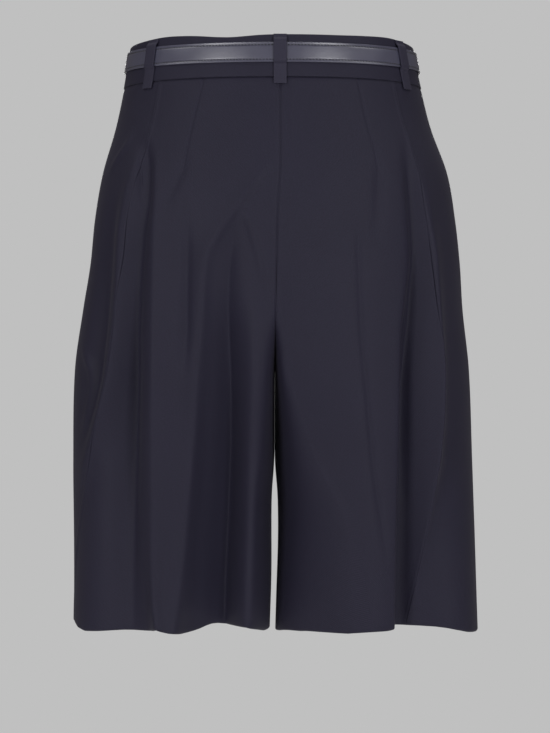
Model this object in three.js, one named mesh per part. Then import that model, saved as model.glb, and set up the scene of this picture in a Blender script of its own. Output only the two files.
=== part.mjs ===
// Wide-leg knee-length culottes with a narrow belt, filled out as worn and held at the waist.
// Millimetres, +Z up. The wearer faces +Y and +X is the wearer's right. The origin is the centre
// of the waist, half way up the waistband.
import * as THREE from 'three';
import { mergeVertices } from 'three/addons/utils/BufferGeometryUtils.js';

const clothThickness = 1.2;
const bandThickness = 2.4;
const loopThickness = 1.5;
const strapThickness = 2.4;
const seamGap = 0.3;          // between two pieces that meet at a seam
const layerGap = 0.3;         // between two pieces that lie on each other
const wornGap = 0.45;         // between the waistband and what is worn over it

const bandTop = 20;           // waistband, 40 high
const bandBottom = -20;
const beltTop = 15;           // belt, 20 wide
const beltBottom = -5;
const forkTop = -232;         // where the crotch seam leaves the seat and turns under
const crotch = -302;          // lowest point of the crotch seam
const hem = -555;
const inseamY = -10;          // depth of the inside-leg seam
const seamTrim = 0.05;        // degrees cut from each panel at its side seam

// The outline at each height: edges, centre seam, back and front surface, depth of the widest
// place, how boxy the outline is (2 is an ellipse) and the side seams' angle behind the side.
const sections = table(
  ['z', 'left', 'right', 'centre', 'back', 'front', 'wide', 'boxy', 'seamL', 'seamR'],
  [20, -143, 137, 5.3, -102, 95, 0, 2.15, -43, -40],
  [-20, -151, 145, 5.3, -106, 98, 0, 2.15, -43, -40],
  [-60, -161, 156, 5.3, -112, 103, 0, 2.2, -43, -40],
  [-105, -172, 170, 5.3, -119, 108, 0, 2.25, -42, -40],
  [-150, -180, 179, 2.5, -124, 111, 0, 2.3, -41, -40],
  [-195, -185, 184, 1.6, -123, 112, 3, 2.35, -41, -40],
  [-240, -192, 187, 0.6, -120, 111, 8, 2.4, -41, -40],
  [-300, -200, 193, 0, -114, 106, 16, 2.5, -41, -41],
  [-390, -202, 196, -0.4, -98, 98, 26, 2.9, -36, -45],
  [-480, -201, 199, -0.4, -84, 90, 34, 3.6, -28, -51],
  [-555, -201, 201, -2.5, -74, 82, 38, 4.2, -22, -56]
);

// The inside legs from the crotch down: the gap between the middles of their two walls, and how far
// each leg's inside rounds into its back and front. They stay together above the third row.
const insideLegs = table(
  ['z', 'gap', 'left', 'right'],
  [crotch, 1.5, 12, 12],
  [-375, 1.5, 15, 30],
  [-420, 7, 18, 48],
  [-465, 7.6, 21, 58],
  [hem, 6.6, 26, 64]
);

// The largest folds: which leg (-1 left, 1 right) and face (-1 back, 1 front), three heights with the
// fold's place across and how far it stands out there, and its half width.
const folds = [
  { leg: 1, face: -1, z: [-60, -250, -420], x: [128, 139, 124], out: [0, -9, -12], width: 15 },
  { leg: 1, face: -1, z: [-240, -400, -555], x: [74, 74, 72], out: [0, 8, 18], width: 36 },
  { leg: 1, face: -1, z: [-210, -400, -555], x: [138, 134, 136], out: [0, -26, -46], width: 24 },
  { leg: 1, face: -1, z: [-300, -430, -555], x: [178, 175, 172], out: [0, -8, -20], width: 24 },
  { leg: -1, face: -1, z: [-60, -130, -220], x: [-128, -125, -130], out: [0, -6, 0], width: 14 },
  { leg: -1, face: -1, z: [-200, -340, -555], x: [-40, -50, -54], out: [0, -17, -34], width: 24 },
  { leg: -1, face: -1, z: [-190, -350, -555], x: [-44, -78, -97], out: [0, 6, 15], width: 17 },
  { leg: -1, face: -1, z: [-200, -380, -555], x: [-134, -134, -146], out: [0, -12, -26], width: 30 },
  { leg: 1, face: 1, z: [-160, -380, -555], x: [60, 66, 70], out: [0, 7, 14], width: 26 },
  { leg: 1, face: 1, z: [-180, -400, -555], x: [112, 122, 126], out: [0, -14, -26], width: 26 },
  { leg: -1, face: 1, z: [-170, -380, -555], x: [-70, -78, -82], out: [0, 8, 13], width: 24 },
  { leg: -1, face: 1, z: [-190, -400, -555], x: [-118, -130, -132], out: [0, -16, -24], width: 26 },
];

const panelColumns = { back: { outer: 13, inner: 4 }, front: { outer: 15, inner: 4 } };
const panelRows = { seat: 8, fork: 5, leg: 8 };
const ringStep = 3;           // degrees between the columns of the waistband and belt

// Angles round the waist: -90 centre back, 0 the wearer's right side, 90 centre front.
const band = { start: 84.5, lap: 11, rampFrom: 338, rampTo: 358 };
const beltLoopWidth = 13;
const beltLoops = [
  { name: 'belt_loop_back', angle: -90 },
  { name: 'belt_loop_back_left', angle: -142.5 },
  { name: 'belt_loop_back_right', angle: -34 },
  { name: 'belt_loop_front_left', angle: 132 },
  { name: 'belt_loop_front_right', angle: 55 },
];
const loopLength = { top: 21, bottom: -27, beltClear: 0.8, slope: 2.4 };
const buckle = { bar: 94, nose: 83.6, halfHeight: 13.2, wire: 1.2, squareness: 5 };
const prong = { from: 94.6, to: 82.9, radius: 1.0 };
const strap = { start: 0.8, lap: 22, riseFrom: 350.5, riseTo: 357.5 };
const keeper = { angle: 103, width: 9, wall: 1.5 };
const lift = { from: 58.5, full: 78.5, until: 109, end: 124 };    // where the belt stands off at the front
const fly = { columns: 5, rows: 6, start: 0.03 };      // counted in the front panel's columns and rows

const radians = THREE.MathUtils.degToRad;
const lerp = THREE.MathUtils.lerp;
const smooth = THREE.MathUtils.smoothstep;

// Rows of numbers under named columns
function table(names, ...rows) {
  return rows.map((row) => Object.fromEntries(names.map((name, i) => [name, row[i]])));
}

// One column of the sections table at height z, as a smooth curve through its rows
function column(name, z) {
  const last = sections.length - 2;
  let i = sections.findIndex((row) => row.z < z) - 1;
  if (i < 0) i = z > sections[0].z ? 0 : last;
  const slope = (k) => {
    const above = sections[Math.max(k - 1, 0)];
    const below = sections[Math.min(k + 1, last + 1)];
    return (below[name] - above[name]) / (below.z - above.z);
  };
  const a = sections[i];
  const b = sections[i + 1];
  const step = b.z - a.z;
  const t = THREE.MathUtils.clamp((z - a.z) / step, 0, 1);
  const rise = (3 - 2 * t) * t * t;
  const bend = slope(i) * (1 - t) - slope(i + 1) * t;
  return lerp(a[name], b[name], rise) + bend * step * t * (1 - t);
}

// One column of the insideLegs table at height z, straight from row to row
function insideLeg(name, z) {
  const below = Math.max(insideLegs.findIndex((row) => row.z <= z), 1);
  const a = insideLegs[below - 1];
  const b = insideLegs[below];
  return lerp(a[name], b[name], THREE.MathUtils.clamp((z - a.z) / (b.z - a.z), 0, 1));
}

// How far a superellipse of unit half widths reaches in a direction: power 2 is a circle
function superellipse(across, up, power) {
  return (across ** power + up ** power) ** (-1 / power);
}

// A point of the outline at an angle on one side (-90 centre back, 0 side, 90 centre front)
function outline(side, angle, z) {
  const edge = column(side < 0 ? 'left' : 'right', z);
  const boxy = column('boxy', z);
  const wide = column('wide', z);
  const face = column(angle < 0 ? 'back' : 'front', z);
  const across = Math.abs(Math.cos(radians(angle)));
  const deep = Math.abs(Math.sin(radians(angle)));
  const reach = superellipse(across, deep, boxy);
  const centre = column('centre', z);
  return new THREE.Vector3(centre + (edge - centre) * across * reach, wide + (face - wide) * deep * reach, z);
}

// How far the folds stand out of a place on one leg's back or front
function foldHeight(leg, face, x, z) {
  let height = 0;
  for (const fold of folds) {
    if (fold.leg !== leg || fold.face !== face || z > fold.z[0]) continue;
    const lower = z < fold.z[1] ? 1 : 0;
    const t = THREE.MathUtils.clamp((z - fold.z[lower]) / (fold.z[lower + 1] - fold.z[lower]), 0, 1);
    const place = lerp(fold.x[lower], fold.x[lower + 1], t);
    const out = lerp(fold.out[lower], fold.out[lower + 1], t);
    height += out * Math.exp(-(((x - place) / fold.width) ** 2));
  }
  return height;
}

// A panel's row: its height, and how far its inner edge has turned under from the centre seam to
// the inside-leg seam, from 0 on the seat to 1 from the crotch down
function rowAt(v) {
  const row = v * (panelRows.seat + panelRows.fork + panelRows.leg);
  const top = bandBottom - seamGap;
  if (row <= panelRows.seat) return { z: lerp(top, forkTop, row / panelRows.seat), turn: 0 };
  const bend = (row - panelRows.seat) / panelRows.fork * Math.PI / 2;
  if (bend <= Math.PI / 2) {
    return { z: lerp(forkTop, crotch, Math.sin(bend)), turn: 1 - Math.cos(bend) };
  }
  const leg = (row - panelRows.seat - panelRows.fork) / panelRows.leg;
  return { z: lerp(crotch, hem, leg), turn: 1 };
}

// A point of a panel before its folds: u runs from the side seam over the outer columns to the
// corner, and over the inner columns round the corner to the centre or inside-leg seam
function plainPoint(side, face, u, v) {
  const { z, turn } = rowAt(v);
  const apart = smooth(-z, -forkTop, -crotch) * insideLeg('gap', z) / 2;
  const inner = Math.max(apart, seamGap / 2);
  const corner = insideLeg(side < 0 ? 'left' : 'right', z);
  const surface = column(face < 0 ? 'back' : 'front', z);
  const edge = lerp(surface, inseamY + face * seamGap / 2, turn);
  const columns = panelColumns[face < 0 ? 'back' : 'front'];
  const meet = columns.outer / (columns.outer + columns.inner);
  if (u <= meet) {
    const seam = column(side < 0 ? 'seamL' : 'seamR', z) + face * seamTrim;
    const halfWidth = Math.abs(column(side < 0 ? 'left' : 'right', z) - column('centre', z));
    const last = face * THREE.MathUtils.radToDeg(Math.acos((inner + corner) / halfWidth));
    return { point: outline(side, lerp(seam, last, u / meet), z), share: 1 };
  }
  const left = 1 - (u - meet) / (1 - meet);
  const bend = left * Math.PI / 2;
  const x = column('centre', z) + side * (inner + corner * (1 - Math.cos(bend)));
  return { point: new THREE.Vector3(x, edge + (surface - edge) * Math.sin(bend), z), share: left * left };
}

// The middle of a panel's cloth, with the folds moved out along the outline's own normal
function panelPoint(side, face, u, v) {
  const { point, share } = plainPoint(side, face, u, v);
  const step = 1e-3;
  const ahead = plainPoint(side, face, u + step, v).point;
  const behind = plainPoint(side, face, u - step, v).point;
  const out = new THREE.Vector3(ahead.y - behind.y, behind.x - ahead.x, 0).normalize();
  out.multiplyScalar(side * face);
  const wide = column('wide', point.z);
  const half = point.y < wide ? -1 : 1;
  const surface = column(half < 0 ? 'back' : 'front', point.z);
  const fade = smooth((point.y - wide) / (surface - wide), 0.1, 0.6) * share;
  return point.addScaledVector(out, foldHeight(side, half, point.x, point.z) * fade);
}

// A closed wall of the given thickness on both sides of the surface at(u, v). Across u and down v
// the surface shows its outer face when faces is 1, and keep holds each point in its own space.
function wall(at, columns, rows, thickness, faces, keep = (point) => point) {
  const corners = [];
  const step = 1e-3;
  const rowStep = 1e-2;
  for (const layer of [1, -1]) {
    for (let j = 0; j <= rows; j++) {
      for (let i = 0; i <= columns; i++) {
        const u = i / columns;
        const v = j / rows;
        const across = at(Math.min(u + step, 1), v).sub(at(Math.max(u - step, 0), v));
        const along = at(u, Math.min(v + rowStep, 1)).sub(at(u, Math.max(v - rowStep, 0)));
        const normal = along.cross(across).normalize().multiplyScalar(faces * layer * thickness / 2);
        corners.push(...keep(at(u, v).add(normal)).toArray());
      }
    }
  }
  const indices = [];
  const layerSize = (columns + 1) * (rows + 1);
  const corner = (layer, i, j) => layer * layerSize + j * (columns + 1) + i;
  const quad = (a, b, c, d) => {
    if (faces > 0) indices.push(a, b, c, a, c, d);
    else indices.push(a, c, b, a, d, c);
  };
  for (let j = 0; j < rows; j++) {
    for (let i = 0; i < columns; i++) {
      quad(corner(0, i, j), corner(0, i, j + 1), corner(0, i + 1, j + 1), corner(0, i + 1, j));
      quad(corner(1, i, j), corner(1, i + 1, j), corner(1, i + 1, j + 1), corner(1, i, j + 1));
    }
  }
  for (let i = 0; i < columns; i++) {
    quad(corner(0, i, 0), corner(0, i + 1, 0), corner(1, i + 1, 0), corner(1, i, 0));
    quad(corner(0, i, rows), corner(1, i, rows), corner(1, i + 1, rows), corner(0, i + 1, rows));
  }
  for (let j = 0; j < rows; j++) {
    quad(corner(0, 0, j), corner(1, 0, j), corner(1, 0, j + 1), corner(0, 0, j + 1));
    quad(corner(0, columns, j), corner(0, columns, j + 1), corner(1, columns, j + 1), corner(1, columns, j));
  }
  return solid(corners, indices);
}

function solid(corners, indices) {
  const geometry = new THREE.BufferGeometry();
  geometry.setAttribute('position', new THREE.Float32BufferAttribute(corners, 3));
  geometry.setIndex(indices);
  return mergeVertices(geometry, 1e-3);
}

// A point round the waist, off millimetres outside the middle of the waistband's cloth
function waistPoint(angle, z, off) {
  const place = (a) => {
    const turned = THREE.MathUtils.euclideanModulo(a + 90, 360) - 90;
    return turned <= 90 ? outline(1, turned, z) : outline(-1, 180 - turned, z);
  };
  const step = 0.01;
  const ahead = place(angle + step);
  const behind = place(angle - step);
  const out = new THREE.Vector3(ahead.y - behind.y, behind.x - ahead.x, 0).normalize();
  return place(angle).addScaledVector(out, off);
}

function degreesPerMillimetre(angle) {
  return 1 / waistPoint(angle + 0.5, 0, 0).distanceTo(waistPoint(angle - 0.5, 0, 0));
}

// How far the belt stands further off at the front, over the lapped waistband and the keeper
function frontLift(angle) {
  const turned = THREE.MathUtils.euclideanModulo(angle, 360);
  const rise = smooth(turned, lift.from, lift.full) * (1 - smooth(turned, lift.until, lift.end));
  return rise * (bandThickness + layerGap);
}

const bandToStrap = bandThickness / 2 + wornGap + strapThickness / 2;
const strapStep = strapThickness + layerGap;

function makePanel(side, face) {
  const rows = panelRows.seat + panelRows.fork + panelRows.leg;
  const keep = (point) => {
    const centre = column('centre', point.z);
    const off = Math.max(side * (point.x - centre), seamGap / 2);
    return point.setX(centre + side * off);
  };
  const at = (u, v) => panelPoint(side, face, u, v);
  const columns = panelColumns[face < 0 ? 'back' : 'front'];
  return wall(at, columns.outer + columns.inner, rows, clothThickness, side * face, keep);
}

function makeWaistband() {
  const turn = 360 + band.lap;
  const at = (u, v) => {
    const along = u * turn;
    const off = smooth(along, band.rampFrom, band.rampTo) * (bandThickness + layerGap);
    return waistPoint(band.start + along, lerp(bandTop, bandBottom + seamGap / 2, v), off);
  };
  return wall(at, Math.ceil(turn / ringStep), 1, bandThickness, 1);
}

function makeStrap() {
  const turn = 360 + strap.lap;
  const at = (u, v) => {
    const along = lerp(strap.start, turn, u);
    const angle = buckle.bar + along;
    const layer = smooth(along, strap.riseFrom, strap.riseTo) * strapStep;
    return waistPoint(angle, lerp(beltTop, beltBottom, v), bandToStrap + frontLift(angle) + layer);
  };
  return wall(at, Math.ceil(turn / ringStep), 1, strapThickness, 1);
}

// A belt loop: down the waistband, out over the belt, back in and on to the panel below
function makeBeltLoop(angle) {
  const onBand = bandThickness / 2 + wornGap + loopThickness / 2;
  const onBelt = onBand + strapThickness + layerGap + frontLift(angle);
  const clear = loopLength.beltClear;
  const route = [
    { z: loopLength.top, off: onBand },
    { z: beltTop + clear + loopLength.slope, off: onBand },
    { z: beltTop + clear, off: onBelt },
    { z: beltBottom - clear, off: onBelt },
    { z: beltBottom - clear - loopLength.slope, off: onBand },
    { z: bandBottom, off: onBand },
    { z: loopLength.bottom, off: onBand },
  ];
  const spread = beltLoopWidth * degreesPerMillimetre(angle);
  const at = (u, v) => {
    const row = v * (route.length - 1);
    const i = Math.min(Math.floor(row), route.length - 2);
    const z = lerp(route[i].z, route[i + 1].z, row - i);
    return waistPoint(angle + (u - 0.5) * spread, z, lerp(route[i].off, route[i + 1].off, row - i));
  };
  return wall(at, 2, route.length - 1, loopThickness, 1);
}

// A closed ring of round wire along route(t), which runs once round as t goes from 0 to 1
function wireRing(route, radius, segments, sides) {
  const corners = [];
  const indices = [];
  const step = 1e-3;
  for (let i = 0; i < segments; i++) {
    const t = i / segments;
    const along = route(t + step).sub(route(t - step)).normalize();
    const out = new THREE.Vector3(0, 1, 0);
    const aside = new THREE.Vector3().crossVectors(along, out).normalize();
    out.crossVectors(aside, along);
    for (let k = 0; k < sides; k++) {
      const turn = 2 * Math.PI * k / sides;
      const point = route(t).addScaledVector(out, radius * Math.cos(turn));
      corners.push(...point.addScaledVector(aside, radius * Math.sin(turn)).toArray());
      const next = (i + 1) % segments * sides;
      const a = i * sides + k;
      const b = i * sides + (k + 1) % sides;
      indices.push(a, b, next + (k + 1) % sides, a, next + (k + 1) % sides, next + k);
    }
  }
  return solid(corners, indices);
}

// The frame lies behind the bar's end of the strap and in front of the strap at its nose
function makeBuckleFrame() {
  const centre = (buckle.bar + buckle.nose) / 2;
  const halfWidth = (buckle.bar - buckle.nose) / 2;
  const middle = (beltTop + beltBottom) / 2;
  const low = bandToStrap + frontLift(centre);
  const high = low + strapThickness / 2 + layerGap + buckle.wire;
  const route = (t) => {
    const turn = 2 * Math.PI * t;
    const across = Math.cos(turn);
    const up = Math.sin(turn);
    const reach = superellipse(Math.abs(across), Math.abs(up), buckle.squareness);
    const towardNose = (1 - across * reach) / 2;
    const z = middle + buckle.halfHeight * up * reach;
    return waistPoint(centre + halfWidth * across * reach, z, lerp(low, high, towardNose));
  };
  return wireRing(route, buckle.wire, 32, 6);
}

// The prong lies over the strap, from above the bar to just past the nose
function makeProng() {
  const off = bandToStrap + frontLift(prong.from) + strapStep + strapThickness / 2 + layerGap + prong.radius;
  const middle = (beltTop + beltBottom) / 2;
  const route = [0, 0.25, 0.5, 0.75, 1].map((t) => waistPoint(lerp(prong.from, prong.to, t), middle, off));
  const section = new THREE.Shape();
  section.absarc(0, 0, prong.radius, 0, 2 * Math.PI);
  const path = new THREE.CatmullRomCurve3(route);
  return new THREE.ExtrudeGeometry(section, { extrudePath: path, steps: 6, curveSegments: 4 });
}

// The keeper: a flat leather ring round both layers of the strap, bent as the strap is
function makeKeeper() {
  const reach = strapThickness / 2 + layerGap;
  const low = bandToStrap + frontLift(keeper.angle) - reach;
  const high = low + 2 * reach + strapStep;
  const frame = (path, grow) => {
    const inside = low - grow;
    const outside = high + grow;
    const under = beltBottom - layerGap - grow;
    const over = beltTop + layerGap + grow;
    return path.moveTo(inside, under).lineTo(outside, under).lineTo(outside, over).lineTo(inside, over);
  };
  const shape = frame(new THREE.Shape(), keeper.wall);
  shape.holes.push(frame(new THREE.Path(), 0));
  const geometry = new THREE.ExtrudeGeometry(shape, { depth: keeper.width, bevelEnabled: false });
  const places = geometry.attributes.position;
  const spread = degreesPerMillimetre(keeper.angle);
  for (let i = 0; i < places.count; i++) {
    const angle = keeper.angle + (keeper.width / 2 - places.getZ(i)) * spread;
    places.setXYZ(i, ...waistPoint(angle, places.getY(i), places.getX(i)).toArray());
  }
  return geometry;
}

// The fly strip is the right front's own inner columns and upper rows, moved forwards by a layer
function makeFly() {
  const off = new THREE.Vector3(0, clothThickness + layerGap, 0);
  const totalRows = panelRows.seat + panelRows.fork + panelRows.leg;
  const at = (u, v) => {
    const across = 1 - fly.columns / (panelColumns.front.outer + panelColumns.front.inner) * (1 - u);
    return panelPoint(1, 1, across, (v * fly.rows + fly.start) / totalRows).add(off);
  };
  return wall(at, fly.columns, fly.rows, clothThickness, 1);
}

const suiting = { color: 0x2e2c37, roughness: 0.82, metalness: 0 };
const leather = { color: 0x3a3a48, roughness: 0.42, metalness: 0 };
const metal = { color: 0xb9b9bd, roughness: 0.3, metalness: 1 };
const group = new THREE.Group();

function add(name, geometry, finish) {
  const mesh = new THREE.Mesh(geometry, new THREE.MeshStandardMaterial(finish));
  mesh.name = name;
  group.add(mesh);
}

for (const [sideName, side] of [['left', -1], ['right', 1]]) {
  add(`back_${sideName}`, makePanel(side, -1), suiting);
  add(`front_${sideName}`, makePanel(side, 1), suiting);
}
add('waistband', makeWaistband(), suiting);
add('fly', makeFly(), suiting);
for (const { name, angle } of beltLoops) add(name, makeBeltLoop(angle), suiting);
add('belt_strap', makeStrap(), leather);
add('belt_keeper', makeKeeper(), leather);
add('buckle_frame', makeBuckleFrame(), metal);
add('buckle_prong', makeProng(), metal);

export default group;
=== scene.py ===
# Wide-leg knee-length culottes with a narrow belt, filled out as worn and held at the waist.
# Sizes are in millimetres and become metres in the mesh. +Z is up and the wearer faces +Y.
import bpy
import numpy as np
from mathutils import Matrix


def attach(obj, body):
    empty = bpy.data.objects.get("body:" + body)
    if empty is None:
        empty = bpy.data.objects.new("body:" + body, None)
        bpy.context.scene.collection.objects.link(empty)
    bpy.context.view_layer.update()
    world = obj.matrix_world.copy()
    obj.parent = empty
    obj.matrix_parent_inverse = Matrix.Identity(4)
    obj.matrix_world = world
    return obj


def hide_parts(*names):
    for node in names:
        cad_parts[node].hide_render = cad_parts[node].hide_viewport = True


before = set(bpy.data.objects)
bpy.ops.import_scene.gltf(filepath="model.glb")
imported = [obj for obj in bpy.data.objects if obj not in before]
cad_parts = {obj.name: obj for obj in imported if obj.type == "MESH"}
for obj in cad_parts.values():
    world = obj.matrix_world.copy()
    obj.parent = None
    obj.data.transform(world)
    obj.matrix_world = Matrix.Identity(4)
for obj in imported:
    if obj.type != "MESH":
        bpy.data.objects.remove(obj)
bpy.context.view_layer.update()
print("frame loaded:", len(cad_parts), "nodes")

garment = dict(
    clothThickness=1.2, seamGap=0.06, layerGap=0.3, bandTop=20, bandBottom=-20,
    forkTop=-232, crotch=-302, hem=-555, inseamY=-10,      # where the crotch seam turns under and ends
    cornerZ=[-302, -377, -443, -555],      # how far the inside of each leg rounds into its back and front
    corner={-1: [12, 16, 22, 28], 1: [12, 38, 70, 84]},
    gapZ=[-302, -386, -400, -421, -445, -465, -510, -555],      # between the two inside-leg walls
    gap=[1.25, 1.25, 3, 6.9, 7.7, 7.6, 6.3, 6.6],
    backRise=1.8, riseDepth=100, riseFrom=-110, riseTo=-10,      # how far the back of the waist is raised
)

# the outline at each height: edges, centre seam, back and front surface, depth of the widest place,
# how boxy the outline is (2 is an ellipse) and how far behind the side the side seams lie, in degrees
sections = dict(
    z=[20, -20, -60, -105, -150, -195, -240, -300, -390, -480, -555],
    left=[-143.3, -150, -158.5, -171.3, -179, -183.7, -191.3, -200, -202, -201, -201],
    right=[137, 145, 155, 171.3, 179, 184, 187, 193.8, 197.4, 200.6, 203.5],
    centre=[5.3, 5.3, 5.3, 5.3, 2.5, 1.6, 0.6, 0, -0.4, -0.4, -2.5],
    back=[-102, -106, -112, -119, -124, -123, -120, -114, -98, -84, -74],
    front=[95, 98, 103, 108, 111, 112, 111, 106, 98, 90, 82],
    wide=[0, 0, 0, 0, 0, 3, 8, 16, 26, 34, 38],
    boxy=[2.15, 2.15, 2.2, 2.25, 2.3, 2.35, 2.4, 2.5, 2.9, 3.6, 4.2],
    seamL=[-43, -43, -43, -42, -41, -41, -41, -41, -36, -28, -22],
    seamR=[-40, -40, -40, -40, -40, -40, -40, -41, -45, -51, -56],
)


# One column of the sections at heights z: a cubic between rows, its slopes from the rows around
def column(name, z):
    h = np.array(sections["z"], float)[::-1]
    v = np.array(sections[name], float)[::-1]
    above = np.minimum(np.arange(len(h)) + 1, len(h) - 1)
    below = np.maximum(np.arange(len(h)) - 1, 0)
    slope = (v[above] - v[below]) / (h[above] - h[below])
    i = np.clip(np.searchsorted(h, z) - 1, 0, len(h) - 2)
    step = h[i + 1] - h[i]
    t = np.clip((z - h[i]) / step, 0, 1)
    rise = (3 - 2 * t) * t * t
    return v[i] + (v[i + 1] - v[i]) * rise + step * t * (1 - t) * (slope[i] * (1 - t) - slope[i + 1] * t)


def smoothStep(value, low, high):
    t = np.clip((value - low) / (high - low), 0, 1)
    return t * t * (3 - 2 * t)


# Straight lines between a table's rows, averaged over soft millimetres up and down
def softTable(heights, values, z, soft=14):
    weights = np.array([1, 4, 6, 4, 1]) / 16
    steps = np.array([-1, -0.5, 0, 0.5, 1]) * soft
    return sum(w * np.interp(-(z + s), -np.array(heights), values) for w, s in zip(weights, steps))


# A superellipse quarter on one side: x and y at an angle, -90 centre back, 0 the side, 90 centre front
def outline(side, angle, z):
    edge = np.where(side < 0, column("left", z), column("right", z))
    power = column("boxy", z)
    wide = column("wide", z)
    face = np.where(angle < 0, column("back", z), column("front", z))
    across = np.abs(np.cos(np.radians(angle)))
    deep = np.abs(np.sin(np.radians(angle)))
    reach = (across ** power + deep ** power) ** (-1 / power)
    centre = column("centre", z)
    return centre + (edge - centre) * across * reach, wide + (face - wide) * deep * reach


# How much higher the back sits than the sides: full at the waist, none low down
def backLift(y, z):
    g = garment
    return g["backRise"] * np.clip(-y / g["riseDepth"], 0, 1) * smoothStep(z, g["riseFrom"], g["riseTo"])


# Vectors scaled to a length of one
def unit(vectors):
    return vectors / np.linalg.norm(vectors, axis=-1, keepdims=True)


# The length of a path up to each of its points
def pathLengths(path):
    return np.concatenate([[0], np.cumsum(np.linalg.norm(np.diff(path, axis=0), axis=1))])


# The four corners of each cell of a grid of numbers, counter-clockwise seen from outside
def cellCorners(index, flip):
    a, b, c, d = index[:-1, :-1], index[1:, :-1], index[1:, 1:], index[:-1, 1:]
    return np.stack((a, d, c, b) if flip else (a, b, c, d), axis=-1).reshape(-1, 4)


def newPiece(name, mesh, material):
    mesh.shade_smooth()
    mesh.materials.append(material)
    piece = bpy.data.objects.new(name, mesh)
    bpy.context.scene.collection.objects.link(piece)
    return piece


# A mesh from a grid of points in millimetres, its faces towards whoever sees the columns run to the
# right and the rows down, or away from them with flip. The uv is in metres along the cloth, with one
# more column where the columns close, and capEnds puts a flat face on the first and the last row.
def gridObject(name, points, material, uv=None, closeRows=False, closeColumns=False, capEnds=False,
               flip=False):
    rows, columns = points.shape[:2]
    index = np.arange(rows * columns).reshape(rows, columns)
    caps = [index[0, ::-1], index[-1]] if flip else [index[0], index[-1, ::-1]]
    if closeRows:
        index = np.vstack([index, index[:1]])
    if closeColumns:
        index = np.hstack([index, index[:, :1]])
    faces = cellCorners(index, flip).tolist() + [cap.tolist() for cap in caps if capEnds]
    mesh = bpy.data.meshes.new(name)
    mesh.from_pydata((points.reshape(-1, 3) * 0.001).tolist(), [], faces)
    if uv is not None:
        places = uv[:, :columns].reshape(-1, 2)
        uvIndex = np.arange(uv.shape[0] * uv.shape[1]).reshape(uv.shape[:2])
        corners = uv.reshape(-1, 2)[cellCorners(uvIndex, flip).ravel()]
        ends = [places[cap] for cap in caps if capEnds]
        layer = mesh.uv_layers.new(name="cloth")
        layer.data.foreach_set("uv", np.concatenate([corners, *ends]).ravel())
    return newPiece(name, mesh, material)


# Gives a sheet its thickness, half on each side
def thicken(piece, thickness):
    wall = piece.modifiers.new("cloth wall", "SOLIDIFY")
    wall.thickness = thickness * 0.001
    wall.offset = 0
    wall.use_even_offset = False


# Lengths along the rows and down the columns of a grid, in metres, from its middle column and top row
def arcLengths(points):
    across = np.linalg.norm(np.diff(points, axis=1), axis=2)
    across = np.hstack([np.zeros((len(points), 1)), np.cumsum(across, axis=1)])
    across -= across[:, points.shape[1] // 2][:, None]
    down = np.linalg.norm(np.diff(points, axis=0), axis=2)
    down = np.vstack([np.zeros((1, points.shape[1])), np.cumsum(down, axis=0)])
    return np.stack([across, -down], axis=-1) * 0.001


# Prints a piece's size as cut: its flat size is its longest lengths across and down, its area that of its
# grid
def declareSheet(piece, points):
    lengths = arcLengths(points)
    cell = np.cross(points[1:, 1:] - points[:-1, :-1], points[1:, :-1] - points[:-1, 1:])
    across, down = np.ptp(lengths[..., 0], axis=1).max(), np.ptp(lengths[..., 1], axis=0).max()
    area = np.linalg.norm(cell, axis=2).sum() / 2e6      # a cell is half the product of its diagonals
    flat = (round(float(across), 3), round(float(down), 3))
    area = min(round(float(area), 5), flat[0] * flat[1])
    print(f"{piece.name}: cut {flat[0] * 1000:.0f} x {flat[1] * 1000:.0f} mm, {area * 1e4:.0f} cm2")


def linear(hexColour):
    parts = np.array([int(hexColour[i:i + 2], 16) for i in (1, 3, 5)]) / 255
    low = parts <= 0.04045
    return tuple(np.where(low, parts / 12.92, ((parts + 0.055) / 1.055) ** 2.4)) + (1.0,)


# Adds a node, sets its properties and input values, and links inputs given as (node, output)
def addNode(tree, kind, properties=None, inputs=None):
    node = tree.nodes.new(kind)
    for name, value in (properties or {}).items():
        setattr(node, name, value)
    for name, value in (inputs or {}).items():
        if isinstance(value, tuple) and hasattr(value[0], "outputs"):
            tree.links.new(value[0].outputs[value[1]], node.inputs[name])
        else:
            node.inputs[name].default_value = value
    return node


# Noise on Object coordinates or along the cloth
def addNoise(tree, place, space, scale, detail):
    return addNode(tree, "ShaderNodeTexNoise", inputs={
        "Vector": (place, space), "Scale": scale, "Detail": detail})


def newMaterial(name, settings):
    material = bpy.data.materials.new(name)
    material.use_nodes = True
    tree = material.node_tree
    shader = tree.nodes["Principled BSDF"]
    for socket, value in settings.items():
        shader.inputs[socket].default_value = value
    return material, tree, shader


# Base colour from dark to light along a factor
def mixColours(tree, shader, factor, dark, light):
    colour = addNode(tree, "ShaderNodeMix", {"data_type": "RGBA"}, {"Factor": factor})
    colour.inputs["A"].default_value = linear(dark)
    colour.inputs["B"].default_value = linear(light)
    tree.links.new(colour.outputs["Result"], shader.inputs["Base Color"])


# Relief of a height in millimetres
def addBump(tree, shader, source, strength, height):
    bump = addNode(tree, "ShaderNodeBump", inputs={
        "Height": source, "Strength": strength, "Distance": height * 0.001})
    tree.links.new(bump.outputs["Normal"], shader.inputs["Normal"])


# Worsted wool suiting, piece-dyed and pressed: near black navy, matt, with a soft nap that catches
# light at the edges and a fine slanting twill. The twill is drawn at 1.4 mm, three times too coarse.
suiting = dict(
    # the belt loops' pair: the same cloth painted lighter, a painted highlight for the light that the loops
    # catch
    dark="#1e1c2d", light="#272538", loopPaintedLitDark="#2a2839", loopPaintedLitLight="#323042", nap="#8c8a94",
    roughness=0.64, specular=0.25, sheen=0.13, sheenRoughness=0.55,
    twill=1.4, twillSlant=63, napSize=0.5, cloudScale=14, cloudShare=0.3, mixFrom=0.3, mixTo=1.0,
    napShare=0.8, reliefStrength=0.25, reliefHeight=0.3,      # how far nap and twill stand up
)


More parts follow.
